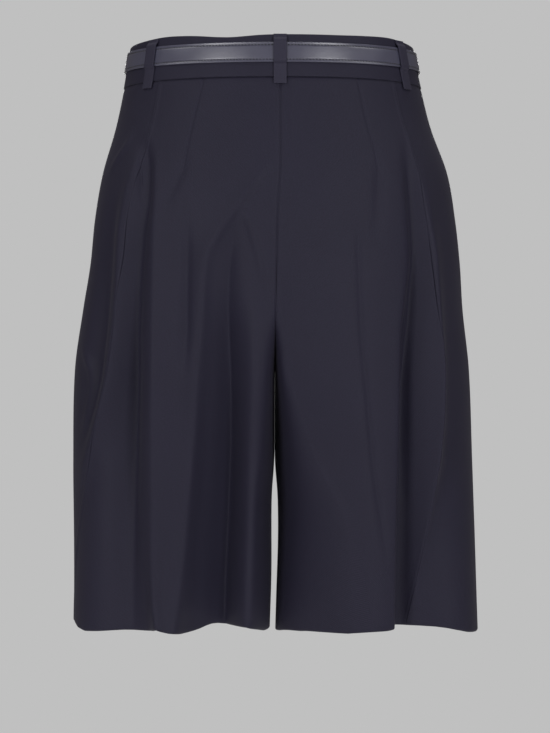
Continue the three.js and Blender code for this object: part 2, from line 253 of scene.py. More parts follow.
def makeSuiting(name, dark, light):
    w = suiting
    material, tree, shader = newMaterial(name, {
        "Roughness": w["roughness"], "Sheen Weight": w["sheen"], "Sheen Roughness": w["sheenRoughness"],
        "Sheen Tint": linear(w["nap"]), "Specular IOR Level": w["specular"]})
    place = addNode(tree, "ShaderNodeTexCoord")
    turned = addNode(tree, "ShaderNodeMapping", inputs={
        "Vector": (place, "UV"), "Rotation": (0, 0, np.radians(w["twillSlant"]))})
    # the wave texture's bands lie 0.314 / scale apart
    twill = addNode(tree, "ShaderNodeTexWave", inputs={
        "Vector": (turned, "Vector"), "Scale": 0.314 / (w["twill"] * 0.001), "Distortion": 1.2,
        "Detail": 2, "Detail Scale": 3})
    nap = addNoise(tree, place, "UV", 1 / (w["napSize"] * 0.001) / 3, 3)
    cloud = addNoise(tree, place, "Object", w["cloudScale"], 3)
    mixed = addNode(tree, "ShaderNodeMath", {"operation": "MULTIPLY_ADD"}, {
        0: (cloud, "Fac"), 1: w["cloudShare"], 2: (nap, "Fac")})
    ramp = addNode(tree, "ShaderNodeMapRange", inputs={
        "Value": (mixed, 0), "From Min": w["mixFrom"], "From Max": w["mixTo"]})
    mixColours(tree, shader, (ramp, "Result"), dark, light)
    relief = addNode(tree, "ShaderNodeMath", {"operation": "MULTIPLY_ADD"}, {
        0: (nap, "Fac"), 1: w["napShare"], 2: (twill, "Fac")})
    addBump(tree, shader, (relief, 0), w["reliefStrength"], w["reliefHeight"])
    return material


# Finished calf leather, dyed navy and pressed smooth: soft broad gloss over a fine pebbled grain
leather = dict(
    dark="#444457", light="#4f4f63", roughness=0.31, smoother=0.04, rougher=0.06, specular=1.0,
    cloudScale=60, grain=1.1, grainStrength=0.12, grainHeight=0.2,
)


def makeLeather():
    c = leather
    material, tree, shader = newMaterial("finished calf leather", {
        "Roughness": c["roughness"], "Specular IOR Level": c["specular"]})
    place = addNode(tree, "ShaderNodeTexCoord")
    grain = addNode(tree, "ShaderNodeTexVoronoi", {"feature": "DISTANCE_TO_EDGE"}, {
        "Vector": (place, "Object"), "Scale": 1 / (c["grain"] * 0.001)})
    cloud = addNoise(tree, place, "Object", c["cloudScale"], 4)
    mixColours(tree, shader, (cloud, "Fac"), c["dark"], c["light"])
    rough = addNode(tree, "ShaderNodeMapRange", inputs={
        "Value": (cloud, "Fac"), "To Min": c["roughness"] - c["smoother"],
        "To Max": c["roughness"] + c["rougher"]})
    tree.links.new(rough.outputs["Result"], shader.inputs["Roughness"])
    addBump(tree, shader, (grain, "Distance"), c["grainStrength"], c["grainHeight"])
    return material


# Nickel-plated zinc, die-cast and polished: bright, slightly warm grey, with faint wear in its gloss
nickel = dict(colour="#c9c7c4", roughness=0.2, bright=0.14, worn=0.3, wearScale=400)


def makeNickel():
    material, tree, shader = newMaterial("nickel-plated zinc", {
        "Base Color": linear(nickel["colour"]), "Metallic": 1.0, "Roughness": nickel["roughness"]})
    place = addNode(tree, "ShaderNodeTexCoord")
    wear = addNoise(tree, place, "Object", nickel["wearScale"], 3)
    rough = addNode(tree, "ShaderNodeMapRange", inputs={
        "Value": (wear, "Fac"), "To Min": nickel["bright"], "To Max": nickel["worn"]})
    tree.links.new(rough.outputs["Result"], shader.inputs["Roughness"])
    return material


# Twisted polyester thread, painted a shade lighter than the cloth on the fly for the light each stitch
# catches, and nearly black on the belt for the shade in its holes. The painted shade in a punched hole is as
# dull.
thread = dict(
    cloth="#34323f", belt="#15151a", holeShade="#17161b", roughness=0.55, sheen=0.2,
    twistScale=1500, twistStrength=0.3, twistHeight=0.1,
)


def makeThread(name, colour):
    material, tree, shader = newMaterial(name, {
        "Base Color": linear(colour), "Roughness": thread["roughness"], "Sheen Weight": thread["sheen"]})
    place = addNode(tree, "ShaderNodeTexCoord")
    twist = addNoise(tree, place, "Object", thread["twistScale"], 1)
    addBump(tree, shader, (twist, "Fac"), thread["twistStrength"], thread["twistHeight"])
    return material


suitingCloth = makeSuiting("worsted wool suiting", suiting["dark"], suiting["light"])
# the belt loops' copy of the cloth, painted lighter for the light that they catch
loopPaintedLitCloth = makeSuiting("worsted wool suiting painted lighter for lit loops", suiting["loopPaintedLitDark"],
                           suiting["loopPaintedLitLight"])
beltLeather = makeLeather()
buckleMetal = makeNickel()
flyThreadPaintedLight = makeThread("polyester sewing thread painted lighter", thread["cloth"])
beltThreadPaintedShade = makeThread("polyester belt thread painted dark for shade", thread["belt"])
holePaintedShade = makeThread("painted shade inside a punched hole", thread["holeShade"])
print("materials made")

# The folds of each leg (-1 left, 1 right) and face (-1 back, 1 front). At heights z a fold lies at x
# and stands out by out; inner and outer are its half widths towards the centre and towards the side.
folds = {
    (1, -1): [
        # right back: the deep hollow beside the near fold, and the broad swell of the near fold
        dict(z=[-190, -215, -259, -341, -421, -502, -555], x=[138, 133, 126, 122, 120, 119, 120],
             out=[0, -4, -9, -15, -20, -24, -26], inner=[8, 6, 5, 5, 5, 5, 5],
             outer=[12, 14, 18, 26, 36, 46, 50]),
        dict(z=[-190, -300, -400, -555], x=[82, 84, 88, 92], out=[0, 5, 11, 18], inner=[48, 46, 42, 40],
             outer=[34, 32, 28, 24]),
        # the inside of the leg rolls away towards the gap
        dict(z=[-200, -259, -311, -376, -443, -511, -555], x=[6, 8, 9, 11, 13, 14, 14],
             out=[0, -4, -7, -9, -9, -7, -5], inner=30, outer=[14, 17, 22, 30, 34, 36, 36], sharp=1.7),
        # the hip hollow and the ridge over the side seam
        dict(z=[-66, -89, -133, -194, -247, -311, -376, -440], x=[126, 129, 134, 138, 137, 130, 128, 128],
             out=[0, -3, -8, -9, -9, -7, -4, 0], inner=7, outer=9),
        dict(z=[-60, -81, -125, -185, -259, -301, -351, -391, -443, -511, -555],
             x=[126, 130, 142, 151, 154, 155, 155, 154, 150, 141, 136],
             out=[0, 3, 5, 8, 12, 15, 16, 15, 11, 7, 5], inner=[8, 8, 8, 8, 9, 11, 12, 12, 12, 12, 12],
             outer=[8, 9, 9, 8, 8, 8, 8, 9, 11, 13, 14], sharp=1.4),
        # the pressed edge of the side seam, caught by the light
        dict(z=[-250, -300, -340, -391, -430], x=[154, 155, 155, 154, 151], out=[0, 1.6, 2, 1.6, 0],
             inner=3, outer=3),
        # the dart
        dict(z=[-8, -22, -58, -89, -106, -112], x=[78, 80, 87, 96, 99, 100],
             out=[-0.7, -0.7, -0.7, -0.7, -0.5, 0], inner=1.4, outer=1.4),
        # the pressed crease, and the soft hollow under the right dart
        dict(z=[-165, -185, -262, -321, -401, -451, -490], x=[79, 80, 82, 87, 93, 99, 104],
             out=[0, -1.6, -2.2, -2.3, -2.2, -1.8, 0], inner=3.2, outer=2.2, sharp=1.4),
        dict(z=[-100, -112, -140, -175], x=[99, 100, 99, 97], out=[0, -1.8, -1.8, 0], inner=6, outer=6),
    ],
    (-1, -1): [
        # left back: the ridge over the side seam, and the hollow outside it
        dict(z=[-62, -84, -126, -163, -216, -259, -300, -331, -365, -395, -420],
             x=[-124, -129, -142, -148, -150, -153, -159, -166, -176, -186, -192],
             out=[0, 3, 4, 5, 6, 6, 6, 6, 5, 3, 0], inner=8, outer=7, sharp=1.6),
        dict(z=[-120, -150, -200, -259, -310, -350, -380], x=[-155, -158, -164, -170, -176, -184, -190],
             out=[0, -3, -5, -8, -7, -3, 0], inner=8, outer=9),
        # the hollow inside that ridge, and the outer long ridge
        dict(z=[-70, -86, -110, -140, -163, -210, -262, -311, -376, -443, -511, -555],
             x=[-128, -126, -123, -124, -130, -135, -139, -141, -142, -142, -142, -142],
             out=[0, -4, -5, -6, -7, -9, -14, -19, -19, -15, -10, -7],
             inner=[6, 6, 6, 7, 8, 9, 10, 11, 11, 11, 11, 11],
             outer=[8, 8, 8, 9, 9, 10, 12, 14, 18, 22, 26, 26]),
        dict(z=[-92, -110, -171, -250, -340, -430, -500, -535, -555],
             x=[-115, -115, -116, -116, -117, -117, -117, -116, -113], out=[0, 2, 3, 5, 7, 9, 12, 16, 20],
             inner=[7, 7, 9, 12, 14, 15, 14, 13, 13], outer=[5, 6, 7, 8, 9, 9, 8, 7, 6], sharp=1.5),
        # a shallow dip, then the long ridge that starts under the seat and the deep hollow inside it
        dict(z=[-150, -185, -262, -305], x=[-84, -84, -85, -88], out=[0, -2.5, -3.5, 0], inner=5,
             outer=5),
        dict(z=[-96, -110, -146, -186, -215, -262, -312, -381, -462, -512, -555],
             x=[-6, -12, -39, -64, -68, -71, -75, -80, -87, -92, -97],
             out=[0, 1.5, 4, 5, 6, 6, 7, 9, 11, 13, 17], inner=[5, 5, 5, 6, 6, 7, 7, 7, 8, 9, 10],
             outer=[8, 8, 11, 12, 12, 11, 12, 13, 14, 13, 12], sharp=1.6),
        dict(z=[-150, -165, -194, -232, -262, -311, -376, -443, -511, -555],
             x=[-34, -38, -44, -46, -46, -44, -44, -46, -49, -50],
             out=[0, -2, -7, -12, -18, -26, -34, -39, -41, -41],
             inner=[8, 9, 10, 12, 13, 14, 15, 15, 15, 15], outer=[8, 9, 12, 15, 18, 22, 28, 32, 34, 34],
             sharp=1.4),
        # the taut line from the seat to the crotch, the ridge inside the leg and its roll to the gap
        dict(z=[-146, -156, -178, -209, -240], x=[-30, -24, -18, -11, -7], out=[0, 2, 2.4, 2, 0], inner=4,
             outer=5),
        dict(z=[-230, -262, -311, -376, -443, -511, -555], x=[-20, -20, -19, -23, -25, -27, -28],
             out=[0, 4, 8, 8, 7, 7, 7], inner=12, outer=11),
        dict(z=[-250, -311, -376, -443, -555], x=[-4, -5, -6, -7, -8], out=[0, -5, -9, -12, -14],
             inner=30, outer=13),
        # the pocket mouth, the drag line above it and a small fold at the side
        dict(z=[-98, -106, -115, -123, -130], x=[-130, -131, -131, -131, -131], out=[0, -2, -2.6, -2, 0],
             inner=1.5, outer=1.5),
        dict(z=[-70, -78, -97, -106], x=[-138, -142, -157, -163], out=[0, 2.4, 2.4, 0], inner=3, outer=3),
        dict(z=[-276, -284, -299, -314, -351, -365], x=[-190, -186, -180, -180, -186, -190],
             out=[0, 3, 4, 4, 3, 0], inner=3, outer=4),
        # the left dart, and the soft hollow under it
        dict(z=[-8, -22, -55, -81, -100, -108], x=[-66, -69, -77, -83, -87, -89],
             out=[-0.7, -0.7, -0.7, -0.7, -0.5, 0], inner=1.4, outer=1.4),
        dict(z=[-88, -105, -129, -150], x=[-84, -88, -100, -108], out=[0, -2, -2, 0], inner=6, outer=6),
    ],
    (1, 1): [
        # right front
        dict(z=[-120, -200, -300, -420, -555], x=[62, 64, 66, 70, 72], out=[0, 3, 7, 11, 16],
             inner=[24, 26, 28, 30, 30], outer=[14, 15, 18, 22, 24], sharp=1.8),
        dict(z=[-150, -230, -330, -440, -555], x=[104, 110, 116, 120, 122], out=[0, -6, -13, -20, -26],
             inner=[10, 12, 14, 16, 16], outer=[16, 18, 22, 26, 28]),
        dict(z=[-110, -180, -300, -440, -555], x=[140, 148, 156, 160, 164], out=[0, 3, 6, 7, 6], inner=11,
             outer=13),
        dict(z=[-260, -330, -440, -555], x=[26, 28, 30, 32], out=[0, -4, -8, -10], inner=11, outer=13),
    ],
    (-1, 1): [
        # left front
        dict(z=[-130, -210, -310, -430, -555], x=[-66, -70, -76, -80, -84], out=[0, 3, 7, 10, 14],
             inner=[20, 22, 24, 26, 26], outer=[12, 14, 16, 18, 20], sharp=1.8),
        dict(z=[-170, -250, -340, -450, -555], x=[-108, -116, -124, -130, -132],
             out=[0, -7, -14, -20, -25], inner=[10, 12, 14, 16, 16], outer=[14, 16, 20, 24, 26]),
        dict(z=[-100, -180, -300, -440, -555], x=[-136, -146, -158, -164, -168], out=[0, 3, 5, 6, 6],
             inner=11, outer=13),
        dict(z=[-250, -330, -440, -555], x=[-30, -36, -42, -46], out=[0, -5, -10, -12], inner=12,
             outer=10),
    ],
}


# How far the folds stand out: a sum of bells, each exp(-|distance across / half width| ^ sharp) times
# the fold's height there
def foldHeight(leg, face, x, z):
    height = np.zeros_like(x)
    for fold in folds[leg, face]:
        place = softTable(fold["z"], fold["x"], z)
        out = softTable(fold["z"], fold["out"], z)
        inner, outer = (softTable(fold["z"], np.broadcast_to(fold[part], len(fold["z"])), z)
                        for part in ("inner", "outer"))
        away = (x - place) * leg
        height += out * np.exp(-(np.abs(away) / np.where(away > 0, outer, inner)) ** fold.get("sharp", 2))
    return height


panels = dict(
    seatRows=96, forkRows=30, legRows=102, outerColumns=134, innerColumns=28,
    cornerFlat=2.8, cornerSteep=1.8,      # powers of the curve round the inside of the leg
    cornerBlend=0.4, turnDepth=90,      # the cloth turns under early at the seam, late away from it
    hemRadius=1.15, turnUp=32, turnUpRows=12,      # the hem is folded inside by this much
    sideApart=0.008,      # degrees from the middle of the side seam to each of its two edges
    sideSeam=-0.4, sideFlat=1.2, centreSeam=1.1, seamWidth=1.4,      # how far edges are drawn in
    bandSeam=0.8, bandSeamWidth=2.0,      # and the top row, below the waistband
    fadeFrom=0.1, fadeTo=0.6,      # folds die away towards the sides
    ripple=0.3, rippleX=[17, 57], rippleZ=[43, 31], ripplePhase=1.3,      # slow unevenness of the cloth
    rippleFrom=30, rippleFull=120,
    hangFrom=340,      # below this the hem lines below begin to tell
    tuckAngle=[69, 84.2], tuck=3,      # how far the right front reaches up behind the band's raised end
)
# the near fold of the right back hangs over the hollow beside it by reach
overhang = dict(
    z=[-200, -259, -341, -421, -555], x=[131, 117, 113.5, 110.5, 108.5], reach=[0, 2, 4.5, 5, 5],
    inner=14, outer=4.5,
)
# how much the hem hangs lower (-) or higher along x, by leg and by back (-1) or front (1)
hemLines = {
    (1, -1): dict(x=[1, 7, 12, 25, 30, 70, 76, 87, 93, 104, 121, 140, 162, 173, 180, 187, 193, 204],
                  drop=[-3, -1.1, -0.3, 0, 0.6, 0.5, 1.2, 2, 2.5, 3, 5.8, 5.1, 3.8, 2.3, 0.7, -1, -2.8, -5]),
    (-1, -1): dict(x=[-203, -199, -195, -188, -175, -160, -150, -125, -118, -114, -108, -102, -97, -91, -85,
                      -79, -74, -68, -62, -56, -51, -45, -33, -28, -22, -16, -10],
                   drop=[8, 5, 1, -1.2, -0.3, 1, 1.6, 1.7, 2.4, 4.2, 2.1, 0.4, 0, -1.1, -0.5,
                         0.6, 2, 4.3, 5.9, 6.1, 5.3, 4.9, 5, 4.9, 3.4, 1.5, -1]),
    (1, 1): dict(x=[0, 100, 187, 204], drop=[0, 0, -1, -5]),
    (-1, 1): dict(x=[-203, -199, -195, -188, -175, 0], drop=[8, 5, 1, -1.2, 0, 0]),
}


# Rows of a panel: height, how far the inner edge has turned under, and how far the cloth is folded
# inside. The crotch rows bend from 0 to 90 degrees; at the hem the cloth goes round a half circle.
def panelRows():
    g, p = garment, panels
    seat = np.linspace(g["bandBottom"] - g["seamGap"], g["forkTop"], p["seatRows"], endpoint=False)
    bend = np.linspace(0, np.pi / 2, p["forkRows"], endpoint=False)
    fork = g["forkTop"] + (g["crotch"] - g["forkTop"]) * np.sin(bend)
    leg = np.linspace(g["crotch"], g["hem"] + p["hemRadius"], p["legRows"])
    roll = np.linspace(0, np.pi, 7)[1:-1]
    under = g["hem"] + p["hemRadius"] * (1 - np.sin(roll))
    up = np.linspace(g["hem"] + p["hemRadius"], g["hem"] + p["turnUp"], p["turnUpRows"])
    z = np.concatenate([seat, fork, leg, under, up])
    turn = np.concatenate([0 * seat, 1 - np.cos(bend), 0 * leg + 1, 0 * under + 1, 0 * up + 1])
    inset = np.concatenate([0 * seat, 0 * fork, 0 * leg, p["hemRadius"] * (1 - np.cos(roll)),
                            0 * up + 2 * p["hemRadius"]])
    return z, turn, inset


# where a panel's columns crowd together, from 0 at its side seam to 1 at its corner: the place, its
# half width and how much closer they are
crowding = {
    (-1, -1): [(0, 0.02, 3), (0.4, 0.045, 1.4)],
    (1, -1): [(0, 0.02, 3), (0.24, 0.12, 1.2), (0.335, 0.045, 1.4)],
    (-1, 1): [(0, 0.02, 3)],
    (1, 1): [(0, 0.02, 3)],
}


# Columns of a panel: even steps of the running total of how close the columns are at each place
def panelColumns(side, face):
    t = np.linspace(0, 1, 2001)
    density = sum((much * np.exp(-((t - place) / width) ** 2) for place, width, much in crowding[side, face]),
                  start=1)
    total = np.concatenate([[0], np.cumsum((density[1:] + density[:-1]) / 2)])
    return np.interp(np.linspace(0, total[-1], panels["outerColumns"]), total, t)


# A panel's points: outline angles from the side seam to the corner, then a quarter turn to the centre
# or inside-leg seam, moved out along the outline's normal by the folds, seams and a slow ripple
def panelGrid(side, face):
    g, p = garment, panels
    rowZ, turn, inset = panelRows()
    z = rowZ[:, None]
    turn = turn[:, None]
    gap = softTable(g["gapZ"], g["gap"], z)
    inner = np.maximum(smoothStep(-z, -g["forkTop"], -g["crotch"]) * gap / 2, g["seamGap"] / 2)
    corner = softTable(g["cornerZ"], g["corner"][side], z)
    surface = column("back" if face < 0 else "front", z)
    centre = column("centre", z)
    edge = surface + (g["inseamY"] + face * g["seamGap"] / 2 - surface) * turn
    halfWidth = np.abs(column("left" if side < 0 else "right", z) - centre)
    t = panelColumns(side, face)[None, :]
    seam = column("seamL" if side < 0 else "seamR", z) + face * p["sideApart"]
    last = face * np.degrees(np.arccos((inner + corner) / halfWidth))
    angle = seam + (last - seam) * t
    outerX, outerY = outline(side, angle, z)
    nudge = 0.05      # degrees either way, for the outline's normal
    aheadX, aheadY = outline(side, angle + nudge, z)
    behindX, behindY = outline(side, angle - nudge, z)
    length = np.hypot(aheadX - behindX, aheadY - behindY) * side
    left = 1 - np.arange(1, p["innerColumns"] + 1)[None, :] / p["innerColumns"]
    bend = left * np.pi / 2
    away = smoothStep(left, 0, p["cornerBlend"])
    slow = smoothStep(-z, -g["forkTop"], -g["crotch"] + p["turnDepth"])
    edge = edge * (1 - away) + (surface + (g["inseamY"] - surface) * slow) * away
    innerX = centre + side * (inner + corner * (1 - np.cos(bend)))
    roundness = (1 - np.cos(bend) ** p["cornerFlat"]) ** (1 / p["cornerSteep"])
    innerY = edge + (surface - edge) * roundness
    x = np.hstack([outerX, innerX])
    y = np.hstack([outerY, innerY])
    z = np.broadcast_to(z, x.shape).copy()
    share = np.hstack([np.ones_like(outerX), np.broadcast_to(roundness, innerX.shape)])

    # the folds move out along the outline's normal, and straight back or forwards over the corner
    outX = np.hstack([(aheadY - behindY) / length, np.zeros_like(innerX)])
    outY = np.hstack([(behindX - aheadX) / length, np.full_like(innerX, face)])
    wide = column("wide", z)
    half = np.where(y < wide, -1, 1)
    reach = np.where(half < 0, column("back", z), column("front", z)) - wide
    fade = smoothStep((y - wide) / reach, p["fadeFrom"], p["fadeTo"]) * share
    height = np.where(half < 0, foldHeight(side, -1, x, z), foldHeight(side, 1, x, z)) * fade
    stepX, stepY = (np.diff(v, axis=1, prepend=v[:, :1]) for v in (x, y))
    fromSeam = np.hypot(stepX, stepY).cumsum(axis=1)
    fromCentre = fromSeam[:, -1:] - fromSeam
    dips = p["sideSeam"] * np.exp(-(np.maximum(fromSeam - p["sideFlat"], 0) / p["seamWidth"]) ** 2)
    dips += (p["centreSeam"] * np.exp(-(fromCentre / p["seamWidth"]) ** 2)
             + p["bandSeam"] * np.exp(-((z - z[0, 0]) / p["bandSeamWidth"]) ** 2))
    (alongX, acrossX), (alongZ, acrossZ) = p["rippleX"], p["rippleZ"]
    ripple = np.sin(x / alongX + z / alongZ + p["ripplePhase"] * side)
    ripple = ripple * np.sin(z / acrossZ - x / acrossX + face)
    ripple = ripple * smoothStep(-z, p["rippleFrom"], p["rippleFull"]) * fade
    height = height - dips + p["ripple"] * ripple
    shift = 0
    if (side, face) == (1, -1):
        place = softTable(overhang["z"], overhang["x"], z)
        width = np.where(x < place, overhang["inner"], overhang["outer"])
        shift = softTable(overhang["z"], overhang["reach"], z) * np.exp(-((x - place) / width) ** 2)
    behind, ahead = hemLines[side, -1], hemLines[side, 1]
    hang = np.where(half < 0, np.interp(x, behind["x"], behind["drop"]),
                    np.interp(x, ahead["x"], ahead["drop"]))
    z += hang * smoothStep(-z, p["hangFrom"], -g["hem"])
    if (side, face) == (1, 1):
        behindBand = (angle[0] > p["tuckAngle"][0]) & (angle[0] < p["tuckAngle"][1])
        z[0, :p["outerColumns"]] += p["tuck"] * behindBand
    x = x + outX * height + shift
    y = y + outY * height
    outX, outY = normalsAcross(x, y, side * face)
    x = x - outX * inset[:, None]
    y = y - outY * inset[:, None]
    keep = garment["seamGap"] / 2
    x = centre + side * np.maximum(side * (x - centre), keep)
    return np.stack([x, y, z + backLift(y, z)], axis=-1)


# Horizontal normals of rows of points, outwards for sign
def normalsAcross(x, y, sign):
    dx = np.gradient(x, axis=1)
    dy = np.gradient(y, axis=1)
    length = np.hypot(dx, dy) * sign
    return dy / length, -dx / length


def makePanel(side, face):
    name = f"{'back' if face < 0 else 'front'}_{'left' if side < 0 else 'right'}"
    points = panelGrid(side, face)
    piece = gridObject(f"{name}_panel", points, suitingCloth, arcLengths(points), flip=side * face < 0)
    thicken(piece, garment["clothThickness"])
    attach(piece, "root")
    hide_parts(name)
    declareSheet(piece, points)


for panelSide, panelFace in ((-1, -1), (-1, 1), (1, -1), (1, 1)):
    makePanel(panelSide, panelFace)
print("panels made")


# Seam allowances, pressed open inside: one strip across each seam, from the edges of its two panels
allowance = dict(width=12, columns=9, thickness=0.9, gap=0.15)


# Unit normals of a grid of points, outwards for sign
def outwardNormals(points, sign):
    return unit(np.cross(np.gradient(points, axis=0), np.gradient(points, axis=1)) * sign)


# The part of each row of a grid within width of its first point
def edgeStrip(points, width, columns):
    step = np.linalg.norm(np.diff(points, axis=1), axis=2)
    length = np.hstack([np.zeros((len(points), 1)), step.cumsum(axis=1)])
    at = np.linspace(0, width, columns)
    return np.array([np.stack([np.interp(at, along, row[:, k]) for k in range(3)], 1)
                     for along, row in zip(length, points)])


def makeAllowance(name, first, second, atCentre, rows):
    inside = (garment["clothThickness"] + allowance["thickness"]) / 2 + allowance["gap"]
    halves = []
    for side, face in (first, second):
        grid = panelGrid(side, face)
        shifted = grid - outwardNormals(grid, side * face) * inside
        fromSeam = shifted[rows, ::-1] if atCentre else shifted[rows]
        halves.append(edgeStrip(fromSeam, allowance["width"], allowance["columns"]))
    points = np.concatenate([halves[0][:, ::-1], halves[1]], axis=1)
    piece = gridObject(name, points, suitingCloth, arcLengths(points))
    thicken(piece, allowance["thickness"])
    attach(piece, "root")
    declareSheet(piece, points)


firstRow = 2      # the strips start just below the waistband
crotchRow = panels["seatRows"] + panels["forkRows"]
hemRow = crotchRow + panels["legRows"] - 1
seatToCrotch = slice(firstRow, crotchRow + 1)
crotchToHem = slice(crotchRow, hemRow)
waistToHem = slice(firstRow, hemRow)
makeAllowance("seam_allowance_back", (-1, -1), (1, -1), True, seatToCrotch)
makeAllowance("seam_allowance_front", (1, 1), (-1, 1), True, seatToCrotch)
makeAllowance("inseam_allowance_left", (-1, 1), (-1, -1), True, crotchToHem)
makeAllowance("inseam_allowance_right", (1, -1), (1, 1), True, crotchToHem)
makeAllowance("side_allowance_left", (-1, -1), (-1, 1), False, waistToHem)
makeAllowance("side_allowance_right", (1, 1), (1, -1), False, waistToHem)
print("seam allowances made")


# The fly strip lies on the right front, over the zip, with a rounded lower corner
fly = dict(
    width=36.4, top=-20.9, bottom=-179.9, round=30, roundIn=27.6, rows=90, columns=26,
    stitchIn=4.5, stitchTop=2, stitchEnd=0.94,      # where its topstitching runs
)


# How wide it is at heights z: full down to the corner, then a quarter of an ellipse
def flyWidth(z):
    below = np.clip((fly["bottom"] + fly["round"] - z) / fly["round"], 0, 1)
    return fly["width"] - fly["roundIn"] * (1 - np.sqrt(1 - below ** 2))


# Its points at heights z and shares fromOuter of the way in from its outer edge, lying out millimetres
# ahead of the right front
def flyPoints(z, fromOuter, out):
    grid = panelGrid(1, 1)
    rows = np.searchsorted(-grid[:, 0, 2], -z)
    centre = column("centre", z)
    points = []
    for row, height, middle, width in zip(rows, z, centre, flyWidth(z)):
        x = middle + garment["seamGap"] / 2 + width * (1 - fromOuter)
        above, below = grid[row - 1], grid[row]
        t = (above[0, 2] - height) / (above[0, 2] - below[0, 2])
        line = above + (below - above) * t
        y = np.interp(x, line[::-1, 0], line[::-1, 1])
        points.append(np.stack([x, y + out, np.full_like(x, height)], axis=1))
    return np.array(points)


def makeFly():
    across = np.linspace(0, 1, fly["columns"])
    z = fly["top"] + (fly["bottom"] - fly["top"]) * np.sin(np.linspace(0, np.pi / 2, fly["rows"]))
    out = garment["clothThickness"] + garment["layerGap"]
    points = flyPoints(z, across, out)
    piece = gridObject("fly_strip", points, suitingCloth, arcLengths(points))
    thicken(piece, garment["clothThickness"])
    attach(piece, "root")
    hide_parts("fly")
    declareSheet(piece, points)


makeFly()
print("fly made")


# The outline round the waist at an angle: -90 centre back, 0 the right side, 90 centre front, 180 left
def ringPlace(angle, z):
    turned = (angle + 90) % 360 - 90
    side = np.where(turned <= 90, 1, -1)
    return outline(side, np.where(turned <= 90, turned, 180 - turned), z)


# Points round the waist, off millimetres outside the middle of the waistband's cloth
def waistPoints(angle, z, off, lifted=True):
    angle, z, off = np.broadcast_arrays(*(np.asarray(v, float) for v in (angle, z, off)))
    nudge = 0.02      # degrees either way, for the outline's normal
    x, y = ringPlace(angle, z)
    aheadX, aheadY = ringPlace(angle + nudge, z)
    behindX, behindY = ringPlace(angle - nudge, z)
    outX, outY = aheadY - behindY, behindX - aheadX
    length = np.hypot(outX, outY)
    x = x + outX / length * off
    y = y + outY / length * off
    return np.stack([x, y, z + (backLift(y, z) if lifted else 0)], axis=-1)


# How many degrees of the outline one millimetre takes at an angle
def degreesPerMillimetre(angle, z=0):
    a, b = (waistPoints(angle + turn, z, 0) for turn in (-0.5, 0.5))
    return 1 / np.linalg.norm(b - a, axis=-1)


# The closed outline of a flat strap with round corners, as heights and offsets: up its outer face,
# over its top edge, down its inner face and round its bottom edge
def strapProfile(halfWidth, halfThick, radius, across=10, corner=5):
    flat = np.linspace(-1, 1, across) * (halfWidth - radius)
    arc = np.linspace(0, np.pi / 2, corner + 2)[1:-1]
    face = np.stack([flat, np.full(across, halfThick)], 1)
    top = np.stack([halfWidth - radius + radius * np.sin(arc), halfThick - radius + radius * np.cos(arc)], 1)
    return np.vstack([face, top, top[::-1] * [1, -1], face[::-1] * [1, -1], top * [-1, -1],
                      top[::-1] * [-1, 1]])


waistband = dict(
    thickness=2.4, start=84.5, lap=11, rampFrom=338, rampTo=358,      # the right end laps over the left
    columns=620, edgeRadius=1.0, pull=0.25, pulls=12, waveSoft=2,
    edgeAngle=[-180, -160, -150, -143, -137, -130, -123, -118, -112, -106, -101, -96, -90, -75, -64,
               -60, -53, -45, -38, -31, -22, -15, 20, 60, 100, 140, 180],
    edgeLift=[0, 0.8, 1.4, 2.2, 2.9, 2.4, 1.6, 0.3, -1.2, -1.3, 0.2, 0.9, 1.2, 1.2, 1.2,
              1.6, 2, 2.6, 2.8, 1.6, 0.6, 0.1, -0.5, 0.3, 0, 0.5, 0],      # how its top edge waves
)


# The waistband: a rounded strip from the front round the back to the front again. Its top edge follows
# soft waves, and its middle swells and draws in by turns round the waist.
def makeWaistband():
    b, g = waistband, garment
    along = np.linspace(0, 360 + b["lap"], b["columns"])[:, None]
    angle = b["start"] + along
    halfHeight = (g["bandTop"] - g["bandBottom"] - g["seamGap"] / 2) / 2
    middle = g["bandTop"] - halfHeight
    profile = strapProfile(halfHeight, b["thickness"] / 2, b["edgeRadius"], across=16)
    step = smoothStep(along, b["rampFrom"], b["rampTo"]) * (b["thickness"] + g["layerGap"])
    wave = np.mean([np.interp((angle + turn + 180) % 360 - 180, b["edgeAngle"], b["edgeLift"])
                    for turn in np.arange(-2, 3) * b["waveSoft"]], axis=0)
    z = middle + profile[:, 0] + wave * smoothStep(profile[:, 0], 0, halfHeight)
    pull = b["pull"] * np.sin(np.radians(angle) * b["pulls"]) * (1 - (profile[:, 0] / halfHeight) ** 2)
    points = waistPoints(angle, z, profile[:, 1] + step + pull)
    piece = closedStrip("waistband_shell", points, suitingCloth)
    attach(piece, "root")
    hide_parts("waistband")


# A tube of profile points along a path, each end drawn in to a small flat cap
def closedStrip(name, points, material):
    first, last = (ring.mean(axis=1, keepdims=True) for ring in (points[:1], points[-1:]))
    shares = (0.02, 0.6)      # how wide the cap and the ring before it are
    start = [first + (points[:1] - first) * share for share in shares]
    end = [last + (points[-1:] - last) * share for share in shares[::-1]]
    points = np.concatenate([*start, points, *end])
    uv = arcLengths(np.concatenate([points, points[:, :1]], axis=1))
    return gridObject(name, points, material, uv, closeColumns=True, capEnds=True)


makeWaistband()
print("waistband made")


belt = dict(
    top=15, bottom=-4.2, thickness=2.0, edgeRadius=0.7, wornGap=0.3,
    bar=94, start=0.8, lap=22, riseFrom=350.5, riseTo=357.5,      # the buckle bar's angle, then from it
    liftFrom=58.5, liftFull=78.5, liftUntil=109, liftEnd=124,      # where it stands off at the front
    tip=16, tipPower=2.4, groove=0.5, grooveIn=2.6, grooveWidth=0.6, crown=0.18, columns=760,
)
beltMiddle = (belt["top"] + belt["bottom"]) / 2


# How far the belt and loops stand off at an angle, over the waistband's lapped end
def frontLift(angle):
    turned = angle % 360
    rise = smoothStep(turned, belt["liftFrom"], belt["liftFull"])
    fall = smoothStep(turned, belt["liftUntil"], belt["liftEnd"])
    return rise * (1 - fall) * (waistband["thickness"] + garment["layerGap"])


